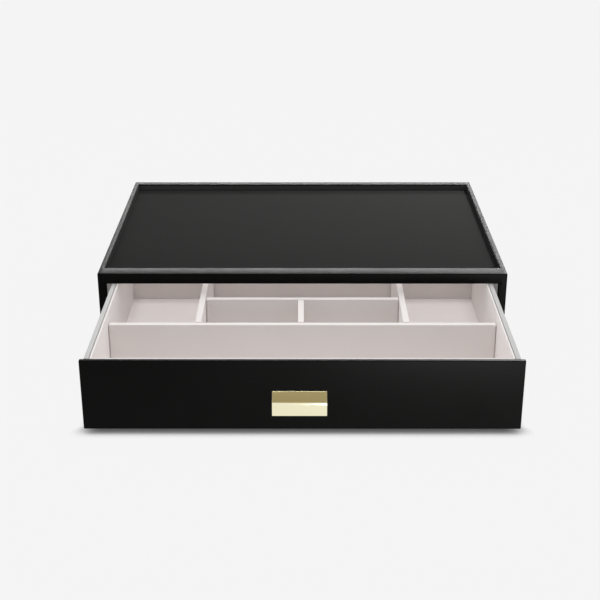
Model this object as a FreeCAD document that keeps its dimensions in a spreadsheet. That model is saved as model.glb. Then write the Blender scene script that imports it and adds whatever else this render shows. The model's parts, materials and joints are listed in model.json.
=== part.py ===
import FreeCAD, Part

import os
import re

import Sketcher

# Low jewellery box with one inset drawer, made to stack: a flat case of thin boards wrapped in
# leatherette, with a rim round a sunken top panel, and a shallow drawer whose velvet-lined inside
# is divided into six compartments.
#
# Frame: +Z up, +X to the right of someone facing the drawer, -Y towards that person.
# The origin is the middle of the case's footprint, on the surface that the box stands on.
# The drawer is drawn pulled out by "pull_out".

DOCUMENT = FreeCAD.newDocument("drawer_box")

# Driving dimensions, in millimetres.
SIZES = {
    # the case
    "case_width": 365.0,
    "case_depth": 267.5,
    "case_height": 77.0,
    "plinth_height": 4.8,  # board under the case, which also drops into the rim of a box below
    "nest_gap": 1.0,  # clearance of that board inside such a rim
    "plinth_corner": 3.0,
    "rim_side": 4.6,  # width of the rim, and so of the wrapped wall under it
    "rim_front": 14.5,
    "rim_back": 10.0,
    "recess_depth": 5.5,  # from the rim's top down to the sunken panel
    "post_width": 7.7,  # front face of the wall and stile beside the drawer
    "stile_depth": 3.0,
    "panel_board": 2.85,  # the rail above the drawer reaches down past this board and its coverings
    "bottom_board": 3.0,
    # coverings
    "wrap": 0.8,  # leatherette with its glue
    "wrap_round": 0.7,
    "velvet": 0.6,  # lining sheet inside the case
    # the drawer front
    "front_side_gap": 0.9,
    "front_top_gap": 1.5,
    "front_floor_gap": 0.6,  # between the drawer front's lower edge and the level of the case's
    "front_thickness": 4.0,
    "front_turn_in": 16.0,  # how far the leatherette is turned over behind the front
    "front_stop_gap": 0.5,  # between the closed front and the case's bottom board
    # the drawer box
    "pull_out": 152.0,
    "box_side_inset": 3.3,  # drawer side, in from the end of the drawer front
    "box_board": 3.8,
    "box_bottom": 3.0,
    "slide_gap": 0.3,  # between the drawer and the velvet that it slides on
    "box_back_gap": 10.8,  # left behind the drawer when it is shut
    "box_round": 0.5,
    # the lining and dividers of the drawer
    "card": 1.6,  # velvet-covered lining card
    "card_gap": 0.6,  # open joint between a side board and its card
    "card_round": 0.5,
    "floor_card": 2.5,
    "divider": 5.0,
    "divider_drop": 9.0,  # top of the dividers, below the top of the drawer's sides
    "divider_round": 1.2,
    "front_bay": 81.2,  # long compartment behind the drawer front
    "middle_bay": 49.3,  # pair of small compartments behind the long divider
    "middle_width": 172.0,  # between the two partitions
    "centre_shift": -1.2,  # the centre divider stands this far off the middle
    # the pull
    "pull_width": 43.2,
    "pull_drop": 25.45,  # top of the pull, below the top of the drawer front
    "pull_slope": 7.0,  # height of the sloping upper face
    "pull_lip": 10.9,  # height of the upright lower face
    "pull_reach": 9.5,  # how far the lip stands off the drawer front
    "pull_plate": 1.6,
    "pull_shift": -2.1,  # middle of the pull, off the middle of the drawer front
    "pull_bend": 1.2,  # outer radius of the fold between the two faces
    "pull_round": 0.35,
    # the pull's screws
    "screw_spacing": 26.0,
    "screw_below_top": 11.0,  # axis, below the top of the pull
    "screw_radius": 1.5,
    "screw_clearance": 0.15,
    "screw_head_radius": 2.8,
    "screw_head": 1.1,
}


def make_sheet():
    """Fill the spreadsheet, one named cell a size."""
    sheet = DOCUMENT.addObject("Spreadsheet::Sheet", "Sizes")
    for row, (alias, number) in enumerate(SIZES.items(), 1):
        sheet.set(f"A{row}", alias)
        sheet.set(f"B{row}", str(number))
        sheet.setAlias(f"B{row}", alias)
    DOCUMENT.recompute()
    return sheet


SHEET = make_sheet()
PARTS = []  # every sub-part, in the order made


def cells(expression):
    """Point each size named in an expression at its spreadsheet cell."""
    return re.sub(r"[a-z_]{3,}", lambda word: "Sizes." + word.group(0), expression)


def bind(thing, prop, expression):
    thing.setExpression(prop, cells(expression))


# Planes that several pieces share, as expressions of the sheet's names.
FRONT = "(-case_depth / 2)"
BACK = "(case_depth / 2)"
WALL_OUT = "(case_width / 2)"
WALL_IN = f"({WALL_OUT} - rim_side)"
POST_IN = f"({WALL_OUT} - post_width)"
LINER_IN = f"({POST_IN} + velvet)"
BACK_WALL_IN = f"({BACK} - rim_back)"
BACK_VELVET = f"({BACK_WALL_IN} - velvet)"
RAIL_BACK = f"({FRONT} + rim_front)"
STILE_BACK = f"({FRONT} + stile_depth)"
BOTTOM_FRONT = f"({FRONT} + front_thickness + front_stop_gap)"

SHELL_BOTTOM = "plinth_height"
BOTTOM_UNDER = f"({SHELL_BOTTOM} + wrap)"
BOTTOM_TOP = f"({BOTTOM_UNDER} + bottom_board)"
SLIDE_TOP = f"({BOTTOM_TOP} + velvet)"
TOP = "case_height"
PANEL_TOP = f"({TOP} - recess_depth)"
PANEL_BOARD_TOP = f"({PANEL_TOP} - wrap)"
PANEL_UNDER = f"({PANEL_BOARD_TOP} - panel_board)"
RAIL_UNDER = f"({PANEL_UNDER} - velvet)"

FACE = f"({FRONT} - pull_out)"
FACE_BACK = f"({FACE} + front_thickness)"
BAY_FRONT = f"({FACE_BACK} + card)"
LONG_FRONT = f"({BAY_FRONT} + front_bay)"
LONG_BACK = f"({LONG_FRONT} + divider)"
CROSS_FRONT = f"({LONG_BACK} + middle_bay)"
CROSS_BACK = f"({CROSS_FRONT} + divider)"
BOX_BACK = f"({BACK_VELVET} - pull_out - box_back_gap)"
BOX_BACK_IN = f"({BOX_BACK} - box_board)"
BAY_BACK = f"({BOX_BACK_IN} - card_gap - card)"

FACE_HALF = f"({POST_IN} - front_side_gap)"
BOX_OUT = f"({FACE_HALF} - box_side_inset)"
BOX_IN = f"({BOX_OUT} - box_board)"
CARD_OUT = f"({BOX_IN} - card_gap)"
CARD_IN = f"({CARD_OUT} - card)"

FACE_BOTTOM = f"({SHELL_BOTTOM} + front_floor_gap)"
FACE_TOP = f"({RAIL_UNDER} - front_top_gap)"
BOX_UNDER = f"({SLIDE_TOP} + slide_gap)"
BOX_FLOOR = f"({BOX_UNDER} + box_bottom)"
CARD_TOP = f"({BOX_FLOOR} + floor_card)"
DIVIDER_TOP = f"({FACE_TOP} - divider_drop)"
PULL_TOP = f"({FACE_TOP} - pull_drop)"
SCREW_HEIGHT = f"({PULL_TOP} - screw_below_top)"
HEAD_FRONT = f"({FACE_BACK} - wrap - screw_head)"
FLANGE_FRONT = f"({FACE} - pull_plate)"


def keep(obj, label):
    """Name a finished sub-part."""
    obj.Label = label
    PARTS.append(obj)
    return obj


def board(label, x, y, z):
    """A plain sawn board or sheet between pairs of planes."""
    box = DOCUMENT.addObject("Part::Box", label + "_box")
    for (low, high), size, base in zip((x, y, z), ("Length", "Width", "Height"), "xyz"):
        bind(box, size, f"{high} - ({low})")
        bind(box, "Placement.Base." + base, low)
    return keep(box, label)


def origin_plane(body, role):
    """One of a body's own origin planes."""
    return [f for f in body.Origin.OriginFeatures if f.Role == role][0]


def outline(body, name, x, y, level):
    """Sketch a rectangle between pairs of planes, at a level above the body's XY plane."""
    sketch = body.newObject("Sketcher::SketchObject", name)
    sketch.AttachmentSupport = [(origin_plane(body, "XY_Plane"), "")]
    sketch.MapMode = "FlatFace"
    bind(sketch, "AttachmentOffset.Base.z", level)
    corners = [(0, 0), (1, 0), (1, 1), (0, 1)]
    for number, corner in enumerate(corners):
        ends = [FreeCAD.Vector(*end, 0) for end in (corner, corners[(number + 1) % 4])]
        sketch.addGeometry(Part.LineSegment(*ends))
    for number in range(4):
        sketch.addConstraint(Sketcher.Constraint("Coincident", number, 2, (number + 1) % 4, 1))
        sketch.addConstraint(Sketcher.Constraint(("Horizontal", "Vertical")[number % 2], number))
    for corner, which in ((0, 0), (2, 1)):
        for kind, span in (("DistanceX", x), ("DistanceY", y)):
            index = sketch.addConstraint(Sketcher.Constraint(kind, -1, 1, corner, 1, float(which)))
            bind(sketch, f"Constraints[{index}]", span[which])
    return sketch


def block(body, kind, name, x, y, z):
    """Add a box to a body as a Pad, or with kind "Pocket" cut one from it."""
    sketch = outline(body, name + "_outline", x, y, z[0])
    volume = body.Shape.Volume if kind == "Pocket" else 0
    feature = body.newObject("PartDesign::" + kind, name)
    feature.Profile = sketch
    feature.Reversed = kind == "Pocket"
    bind(feature, "Length", f"{z[1]} - ({z[0]})")
    DOCUMENT.recompute()
    if kind == "Pocket" and body.Shape.Volume >= volume:
        raise RuntimeError(name + " cuts nothing")
    return feature


def near(a, b):
    return abs(a - b) < 1e-6


class Edge:
    """Where an edge of a box lies, for choosing what to round."""

    def __init__(self, edge, whole):
        b = edge.BoundBox
        self.along = "xyz"[[b.XLength, b.YLength, b.ZLength].index(max(b.XLength, b.YLength, b.ZLength))]
        self.left = near(b.XMax, whole.XMin)
        self.right = near(b.XMin, whole.XMax)
        self.front = near(b.YMax, whole.YMin)
        self.back = near(b.YMin, whole.YMax)
        self.bottom = near(b.ZMax, whole.ZMin)
        self.top = near(b.ZMin, whole.ZMax)


def round_edges(body, feature, radius, chosen):
    """Fillet the edges of a feature that the test picks."""
    whole = feature.Shape.BoundBox
    names = [f"Edge{i}" for i, e in enumerate(feature.Shape.Edges, 1) if chosen(Edge(e, whole))]
    fillet = body.newObject("PartDesign::Fillet", feature.Name + "_round")
    fillet.Base = (feature, names)
    bind(fillet, "Radius", radius)
    DOCUMENT.recompute()
    return fillet


def covered(label, x, y, z, radius, chosen, hollows=()):
    """A piece with rounded edges, less the spaces that its core and neighbours take."""
    body = DOCUMENT.addObject("PartDesign::Body", label + "_body")
    outer = block(body, "Pad", label + "_block", x, y, z)
    round_edges(body, outer, radius, chosen)
    for number, hollow in enumerate(hollows, 1):
        block(body, "Pocket", f"{label}_hollow_{number}", *hollow)
    return keep(body, label)


def both_sides(inner, outer):
    """The span between two distances from the middle plane, on the left and on the right."""
    return (("left", ("-" + outer, "-" + inner)), ("right", (inner, outer)))


# ---------------------------------------------------------------- the case


def make_base_plinth():
    """Felt-covered board that the case stands on."""
    covered(
        "base_plinth",
        (f"-{WALL_IN} + nest_gap", f"{WALL_IN} - nest_gap"),
        (f"{RAIL_BACK} + nest_gap", f"{BACK_WALL_IN} - nest_gap"),
        ("0", SHELL_BOTTOM),
        "plinth_corner",
        lambda e: e.along == "z",
    )


def make_side_walls():
    """Wall boards, the leatherette sleeves over them, and the liners and stiles inside."""
    for side, wall in both_sides(WALL_IN, WALL_OUT):
        core = (
            (f"{wall[0]} + wrap", f"{wall[1]} - wrap"),
            (f"{FRONT} + wrap", f"{BACK} - wrap"),
            (SHELL_BOTTOM, f"{TOP} - wrap"),
        )
        board(side + "_wall_board", *core)
        covered(
            side + "_wall_wrap",
            wall,
            (FRONT, BACK),
            (SHELL_BOTTOM, TOP),
            "wrap_round",
            lambda e, outer=side: e.top or (e.along == "z" and getattr(e, outer)),
            [core],
        )
    for side, liner in both_sides(LINER_IN, WALL_IN):
        board(side + "_liner_board", liner, (STILE_BACK, BACK_WALL_IN), (BOTTOM_TOP, RAIL_UNDER))
    for side, stile in both_sides(POST_IN, WALL_IN):
        inner = "right" if side == "left" else "left"
        covered(
            side + "_front_stile",
            stile,
            (FRONT, STILE_BACK),
            (SHELL_BOTTOM, RAIL_UNDER),
            "wrap_round",
            lambda e, inner=inner: e.along == "z" and e.front and getattr(e, inner),
        )


def make_back_wall():
    """Thick back board between the side walls, under its leatherette."""
    across = ("-" + WALL_IN, WALL_IN)
    core = (across, (f"{BACK_WALL_IN} + wrap", f"{BACK} - wrap"), (SHELL_BOTTOM, f"{TOP} - wrap"))
    board("back_wall_board", *core)
    covered(
        "back_wall_wrap",
        across,
        (BACK_WALL_IN, BACK),
        (SHELL_BOTTOM, TOP),
        "wrap_round",
        lambda e: e.along == "x" and e.top,
        [core],
    )


def make_front_rail():
    """Rail over the drawer opening, under its leatherette."""
    across = ("-" + WALL_IN, WALL_IN)
    core = (
        across,
        (f"{FRONT} + wrap", f"{RAIL_BACK} - wrap"),
        (f"{RAIL_UNDER} + wrap", f"{TOP} - wrap"),
    )
    board("front_rail_board", *core)
    covered(
        "front_rail_wrap",
        across,
        (FRONT, RAIL_BACK),
        (RAIL_UNDER, TOP),
        "wrap_round",
        lambda e: e.along == "x" and (e.top or e.front),
        [core],
    )


def make_top_panel():
    """Sunken panel over the liners, with its own covering."""
    across = ("-" + WALL_IN, WALL_IN)
    along = (RAIL_BACK, BACK_WALL_IN)
    board("top_panel_board", across, along, (PANEL_UNDER, PANEL_BOARD_TOP))
    board("top_panel_cover", across, along, (PANEL_BOARD_TOP, PANEL_TOP))


def make_bottom():
    """Bottom board between the walls, and the sheet under it."""
    across = ("-" + WALL_IN, WALL_IN)
    along = (BOTTOM_FRONT, BACK_WALL_IN)
    board("bottom_board", across, along, (BOTTOM_UNDER, BOTTOM_TOP))
    board("bottom_cover", across, along, (SHELL_BOTTOM, BOTTOM_UNDER))


def make_case_lining():
    """Velvet inside the case: the drawer slides on one sheet, and one is held over the liners."""
    between = ("-" + POST_IN, POST_IN)
    for side, sheet in both_sides(POST_IN, LINER_IN):
        board(side + "_case_velvet", sheet, (STILE_BACK, BACK_WALL_IN), (BOTTOM_TOP, RAIL_UNDER))
    board("back_case_velvet", between, (BACK_VELVET, BACK_WALL_IN), (BOTTOM_TOP, RAIL_UNDER))
    board("floor_case_velvet", between, (BOTTOM_FRONT, BACK_VELVET), (BOTTOM_TOP, SLIDE_TOP))
    across = ("-" + WALL_IN, WALL_IN)
    board("ceiling_case_velvet", across, (RAIL_BACK, BACK_WALL_IN), (RAIL_UNDER, PANEL_UNDER))


# ---------------------------------------------------------------- the drawer


def screw_positions():
    """Expressions of the two screw axes' X."""
    return [f"pull_shift {sign} screw_spacing / 2" for sign in "-+"]


def drill(body, name, radius, front, back):
    """Cut the pair of screw holes through a body, from a plane square to Y back to another."""
    sketch = body.newObject("Sketcher::SketchObject", name + "_circles")
    sketch.AttachmentSupport = [(origin_plane(body, "XZ_Plane"), "")]
    sketch.MapMode = "FlatFace"
    bind(sketch, "AttachmentOffset.Base.z", f"-({front})")  # this plane faces -Y
    for number, across in enumerate(screw_positions()):
        centre = FreeCAD.Vector(number, 1, 0)
        sketch.addGeometry(Part.Circle(centre, FreeCAD.Vector(0, 0, 1), 1.0))
        for kind, place, guess in (("DistanceX", across, centre.x), ("DistanceY", SCREW_HEIGHT, centre.y)):
            index = sketch.addConstraint(Sketcher.Constraint(kind, -1, 1, number, 3, guess))
            bind(sketch, f"Constraints[{index}]", place)
        index = sketch.addConstraint(Sketcher.Constraint("Radius", number, 1.0))
        bind(sketch, f"Constraints[{index}]", radius)
    volume = body.Shape.Volume
    holes = body.newObject("PartDesign::Pocket", name)
    holes.Profile = sketch
    bind(holes, "Length", f"{back} - ({front})")
    DOCUMENT.recompute()
    if body.Shape.Volume >= volume:
        raise RuntimeError(name + " cuts nothing")


def make_drawer_front():
    """Front board, drilled for the pull, and the leatherette round it."""
    clearance = "screw_radius + screw_clearance"
    core = (
        (f"-{FACE_HALF} + wrap", f"{FACE_HALF} - wrap"),
        (f"{FACE} + wrap", f"{FACE_BACK} - wrap"),
        (f"{FACE_BOTTOM} + wrap", f"{FACE_TOP} - wrap"),
    )
    window = (
        (f"-{FACE_HALF} + front_turn_in", f"{FACE_HALF} - front_turn_in"),
        (f"{FACE_BACK} - wrap", FACE_BACK),
        (f"{FACE_BOTTOM} + front_turn_in", f"{FACE_TOP} - front_turn_in"),
    )
    front = DOCUMENT.addObject("PartDesign::Body", "drawer_front_body")
    block(front, "Pad", "drawer_front_block", *core)
    drill(front, "front_hole", clearance, *core[1])
    drill(front, "front_counterbore", "screw_head_radius + screw_clearance", HEAD_FRONT, core[1][1])
    keep(front, "drawer_front_board")

    cover = covered(
        "drawer_front_wrap",
        ("-" + FACE_HALF, FACE_HALF),
        (FACE, FACE_BACK),
        (FACE_BOTTOM, FACE_TOP),
        "wrap_round",
        lambda e: e.front or e.along == "y" or (e.top and e.back),
        [core, window],
    )
    drill(cover, "wrap_hole", clearance, FACE, core[1][0])


def make_drawer_box():
    """Boards of the drawer behind its front."""
    tall = (BOX_UNDER, FACE_TOP)
    between = ("-" + BOX_IN, BOX_IN)
    for side, span in both_sides(BOX_IN, BOX_OUT):
        covered(
            f"drawer_{side}_board",
            span,
            (FACE_BACK, BOX_BACK),
            tall,
            "box_round",
            lambda e: e.along == "y" and e.top,
        )
    covered(
        "drawer_back_board",
        between,
        (BOX_BACK_IN, BOX_BACK),
        tall,
        "box_round",
        lambda e: e.along == "x" and e.top,
    )
    board("drawer_bottom_board", between, (FACE_BACK, BOX_BACK_IN), (BOX_UNDER, BOX_FLOOR))


def make_drawer_lining():
    """Velvet-covered cards round the inside of the drawer and on its floor."""
    tall = (BOX_FLOOR, FACE_TOP)
    between = ("-" + CARD_IN, CARD_IN)
    rounded = {"radius": "card_round"}
    for side, span in both_sides(CARD_IN, CARD_OUT):
        covered(side + "_lining_card", span, (FACE_BACK, f"{BAY_BACK} + card"), tall,
                chosen=lambda e: e.along == "y" and e.top, **rounded)
    covered("front_lining_card", between, (FACE_BACK, BAY_FRONT), tall,
            chosen=lambda e: e.along == "x" and e.top, **rounded)
    covered("back_lining_card", between, (BAY_BACK, f"{BAY_BACK} + card"), tall,
            chosen=lambda e: e.along == "x" and e.top, **rounded)
    board("floor_lining_card", between, (BAY_FRONT, BAY_BACK), (BOX_FLOOR, CARD_TOP))


def make_dividers():
    """Velvet-covered dividers, which stand on the floor card."""
    tall = (CARD_TOP, DIVIDER_TOP)
    half_middle = "(middle_width / 2)"
    outer_middle = "(middle_width / 2 + divider)"

    def divider(label, x, y, along):
        covered(label, x, y, tall, "divider_round", lambda e: e.along == along and e.top)

    divider("long_divider", ("-" + CARD_IN, CARD_IN), (LONG_FRONT, LONG_BACK), "x")
    for side, span in both_sides(half_middle, outer_middle):
        divider(side + "_partition", span, (LONG_BACK, BAY_BACK), "y")
    divider("cross_divider", ("-" + half_middle, half_middle), (CROSS_FRONT, CROSS_BACK), "x")
    divider(
        "centre_divider",
        ("centre_shift - divider / 2", "centre_shift + divider / 2"),
        (LONG_BACK, CROSS_FRONT),
        "y",
    )


def make_pull():
    """Folded brass pull: a flange on the drawer front, a sloping face and an upright lip."""
    body = DOCUMENT.addObject("PartDesign::Body", "pull_body")
    sketch = body.newObject("Sketcher::SketchObject", "pull_profile")
    sketch.AttachmentSupport = [(origin_plane(body, "YZ_Plane"), "")]
    sketch.MapMode = "FlatFace"
    bind(sketch, "AttachmentOffset.Base.x", FACE)
    bind(sketch, "AttachmentOffset.Base.y", PULL_TOP)
    bind(sketch, "AttachmentOffset.Base.z", "pull_shift")

    # Corners, clockwise from the top of the flange's back; first guesses that the constraints settle.
    guesses = [(0, 0), (0, -18), (-1.5, -18), (-1.5, -2), (-7, -7), (-7, -18), (-8.5, -18), (-8.5, -7), (-1.5, 0)]
    count = len(guesses)
    for number, (across, up) in enumerate(guesses):
        following = guesses[(number + 1) % count]
        sketch.addGeometry(
            Part.LineSegment(FreeCAD.Vector(across, up, 0), FreeCAD.Vector(following[0], following[1], 0))
        )
    for number in range(count):
        sketch.addConstraint(Sketcher.Constraint("Coincident", number, 2, (number + 1) % count, 1))
    flange, inner_reach, foot = "-pull_plate", "pull_plate - pull_reach", "-pull_slope - pull_lip"
    places = [
        ("0", "0"),
        ("0", foot),
        (flange, foot),
        (flange, "-pull_plate"),
        (inner_reach, "-pull_slope"),
        (inner_reach, foot),
        ("-pull_reach", foot),
        ("-pull_reach", "-pull_slope"),
        (flange, "0"),
    ]
    for number, (place, guess) in enumerate(zip(places, guesses)):
        for kind, expression, start in zip(("DistanceX", "DistanceY"), place, guess):
            index = sketch.addConstraint(Sketcher.Constraint(kind, -1, 1, number, 1, float(start)))
            bind(sketch, f"Constraints[{index}]", expression)
    DOCUMENT.recompute()

    pad = body.newObject("PartDesign::Pad", "pull_fold")
    pad.Profile = sketch
    pad.SideType = "Symmetric"
    bind(pad, "Length", "pull_width")
    DOCUMENT.recompute()
    fold = round_edges(body, pad, "pull_bend", lambda e: e.along == "x" and e.front and not e.bottom)
    round_edges(body, fold, "pull_round", lambda e: e.along == "x" and (e.top or e.bottom) and not e.back)
    drill(body, "pull_thread", "screw_radius", FLANGE_FRONT, FACE)
    keep(body, "drawer_pull")


def make_pull_screws():
    """Two screws from inside the drawer front into the pull's flange."""
    screws = []
    for number, across in enumerate(screw_positions(), 1):
        pieces = []
        spans = [
            ("head", "screw_head_radius", HEAD_FRONT, f"{FACE_BACK} - wrap"),
            ("shank", "screw_radius - screw_clearance / 2", FLANGE_FRONT, HEAD_FRONT),
        ]
        for name, radius, low, high in spans:
            cylinder = DOCUMENT.addObject("Part::Cylinder", f"screw_{name}_{number}")
            bind(cylinder, "Radius", radius)
            bind(cylinder, "Height", f"{high} - ({low})")
            cylinder.Placement.Rotation = FreeCAD.Rotation(FreeCAD.Vector(1, 0, 0), 90)
            bind(cylinder, "Placement.Base.x", across)
            bind(cylinder, "Placement.Base.y", high)
            bind(cylinder, "Placement.Base.z", SCREW_HEIGHT)
            pieces.append(cylinder)
        screw = DOCUMENT.addObject("Part::MultiFuse", f"screw_{number}")
        screw.Shapes = pieces
        screws.append(screw)
    pair = DOCUMENT.addObject("Part::Compound", "screw_pair")
    pair.Links = screws
    keep(pair, "pull_screws")


def check():
    """Stop on any object that failed, or any sub-part with no sound shape."""
    DOCUMENT.recompute()
    failed = [o.Name for o in DOCUMENT.Objects if "Invalid" in o.State or "Error" in o.State]
    if failed:
        raise RuntimeError("failed objects: " + ", ".join(failed))
    for part in PARTS:
        if part.Shape.isNull() or not part.Shape.isValid() or part.Shape.Volume <= 0:
            raise RuntimeError("no sound shape: " + part.Label)


def export():
    """Write each sub-part to a file of its own."""
    os.makedirs("parts", exist_ok=True)
    for part in PARTS:
        part.Shape.exportStep(f"parts/{part.Label}.step")
        bounds = part.Shape.BoundBox
        spans = [
            f"{axis} {getattr(bounds, axis + 'Min'):8.2f} {getattr(bounds, axis + 'Max'):8.2f}"
            for axis in "XYZ"
        ]
        print(f"{part.Label:22} {len(part.Shape.Solids):2} solid ", *spans)


make_base_plinth()
make_side_walls()
make_back_wall()
make_front_rail()
make_top_panel()
make_bottom()
make_case_lining()
make_drawer_front()
make_drawer_box()
make_drawer_lining()
make_dividers()
make_pull()
make_pull_screws()
check()
export()
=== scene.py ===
import json
import logging
import math
from collections.abc import Callable
from dataclasses import dataclass
from enum import Enum
from typing import Self

import bmesh
import bpy
from mathutils import Euler, Matrix, Vector

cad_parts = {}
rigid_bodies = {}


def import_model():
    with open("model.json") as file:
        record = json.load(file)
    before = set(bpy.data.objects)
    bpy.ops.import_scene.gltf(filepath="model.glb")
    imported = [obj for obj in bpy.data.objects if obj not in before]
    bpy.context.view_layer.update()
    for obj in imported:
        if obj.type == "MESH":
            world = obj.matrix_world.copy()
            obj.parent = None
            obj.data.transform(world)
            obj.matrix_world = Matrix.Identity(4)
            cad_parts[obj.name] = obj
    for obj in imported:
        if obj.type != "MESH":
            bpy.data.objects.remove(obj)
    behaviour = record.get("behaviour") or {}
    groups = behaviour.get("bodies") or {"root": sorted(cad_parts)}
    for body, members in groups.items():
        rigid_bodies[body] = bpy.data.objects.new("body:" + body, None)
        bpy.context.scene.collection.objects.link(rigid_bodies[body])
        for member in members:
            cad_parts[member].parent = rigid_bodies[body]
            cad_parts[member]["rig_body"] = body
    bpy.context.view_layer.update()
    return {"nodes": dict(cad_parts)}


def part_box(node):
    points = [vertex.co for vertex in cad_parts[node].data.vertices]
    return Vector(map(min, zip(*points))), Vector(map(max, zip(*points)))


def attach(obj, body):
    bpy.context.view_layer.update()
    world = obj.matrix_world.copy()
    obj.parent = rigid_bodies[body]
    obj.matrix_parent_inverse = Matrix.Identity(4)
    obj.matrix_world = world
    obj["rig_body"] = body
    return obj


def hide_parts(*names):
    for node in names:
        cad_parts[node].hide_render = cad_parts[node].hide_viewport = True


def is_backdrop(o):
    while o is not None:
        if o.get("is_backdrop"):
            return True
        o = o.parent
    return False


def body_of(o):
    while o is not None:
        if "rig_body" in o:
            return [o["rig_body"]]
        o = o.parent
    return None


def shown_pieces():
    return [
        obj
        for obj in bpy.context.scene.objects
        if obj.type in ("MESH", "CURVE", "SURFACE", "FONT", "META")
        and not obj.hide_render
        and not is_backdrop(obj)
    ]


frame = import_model()

logging.basicConfig(level=logging.INFO, format="%(name)s: %(message)s")
log = logging.getLogger("drawer_box")

MM = 0.001
# Two places nearer to each other than this are the same.
HAIR = 0.02 * MM
# A face looks along a direction where its normal has more than this share of it.
SQUARE_ON = 0.99
# The whole range of a mask.
FULL = (0.0, 1.0)

Colour = tuple[float, float, float]
Point = tuple[float, float, float]
Span = tuple[float, float]
Test = Callable[[Vector, Vector], bool]
Node = bpy.types.Node
Socket = bpy.types.NodeSocket


class Body(Enum):
    """The two bodies of the box, which slide against each other."""

    CASE = "case"
    DRAWER = "drawer"


class Side(Enum):
    """A side of the box, for someone who faces the drawer."""

    LEFT = "left"
    RIGHT = "right"

    def outer_first(self, low: float, high: float) -> Span:
        """The two ends of a piece along X, the outer one first."""
        return (low, high) if self is Side.LEFT else (high, low)


class Axis(Enum):
    """An axis of the frame that the pieces are modelled in."""

    X = 0
    Y = 1
    Z = 2

    @property
    def direction(self) -> Vector:
        """Unit vector along the axis."""
        return Vector([float(axis is self) for axis in Axis])


class Slot(Enum):
    """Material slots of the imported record."""

    LEATHERETTE = "black_leatherette"
    MATTE = "matte_leatherette"
    VELVET = "pale_velvet"
    FELT = "felt"
    RAW_BOARD = "raw_board"
    PALE_BOARD = "pale_board"
    GOLD = "gold_metal"
    STEEL = "steel"


# ---------------------------------------- node trees


class Tree:
    """A short way to add and join nodes in one node tree."""

    # Places of the sockets that blend colours in a Mix node.
    MIX_SHARE = 0
    MIX_FIRST = 6
    MIX_SECOND = 7
    MIX_RESULT = 2

    def __init__(self, tree: bpy.types.NodeTree) -> None:
        """Wrap a node tree, emptied first."""
        self.tree = tree
        tree.nodes.clear()

    def add(self, kind: str, **settings: object) -> Node:
        """Add a node.

        Args:
            kind: the node's type, without the ShaderNode prefix.
            settings: attributes of the node.

        Returns:
            The new node.
        """
        prefix = "" if kind.startswith("NodeGroup") else "ShaderNode"
        node = self.tree.nodes.new(prefix + kind)
        for name, value in settings.items():
            setattr(node, name, value)
        return node

    def set(self, node: Node, **inputs: object) -> Node:
        """Set a node's inputs by name.

        Args:
            node: the node.
            inputs: the values, each under its input's name with underscores for spaces.

        Returns:
            The same node.
        """
        for name, value in inputs.items():
            node.inputs[name.replace("_", " ")].default_value = value
        return node

    def join(self, source: Socket, target: Socket) -> None:
        """Link an output to an input."""
        self.tree.links.new(source, target)

    def feed(self, node: Node, *values: float | Socket) -> Socket:
        """Give a node's inputs numbers, or other nodes' outputs, in order.

        Args:
            node: the node.
            values: the numbers or outputs.

        Returns:
            The node's own first output.
        """
        for value, target in zip(values, node.inputs):
            if isinstance(value, Socket):
                self.join(value, target)
            else:
                target.default_value = value
        return node.outputs[0]

    def compute(self, operation: str, *values: float | Socket) -> Socket:
        """Work out a number from others with a Math node."""
        return self.feed(self.add("Math", operation=operation), *values)

    def remap(self, value: Socket, source: Span, result: Span, smooth: bool = False) -> Socket:
        """Turn one range of numbers into another, held at its ends.

        Args:
            value: the output that gives the number.
            source: where the number starts and ends.
            result: what its start and end turn into.
            smooth: whether the change sets in and ends softly.

        Returns:
            The output that gives the new number.
        """
        node = self.add("MapRange", interpolation_type="SMOOTHSTEP" if smooth else "LINEAR")
        self.set(node, From_Min=source[0], From_Max=source[1], To_Min=result[0], To_Max=result[1])
        self.join(value, node.inputs["Value"])
        return node.outputs[0]

    def mix_colours(self, share: Socket, first: Colour, second: Colour) -> Socket:
        """Blend two colours.

        Args:
            share: the output that gives the second colour's share, from 0 to 1.
            first: the first colour.
            second: the second colour.

        Returns:
            The output that gives the blend.
        """
        node = self.add("Mix", data_type="RGBA")
        node.inputs[self.MIX_FIRST].default_value = (*first, 1.0)
        node.inputs[self.MIX_SECOND].default_value = (*second, 1.0)
        self.join(share, node.inputs[self.MIX_SHARE])
        return node.outputs[self.MIX_RESULT]

    def mix_shaders(self, share: float | Socket, first: Socket, second: Socket) -> Socket:
        """Blend two shaders, by the second one's share from 0 to 1."""
        return self.feed(self.add("MixShader"), share, first, second)


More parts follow.
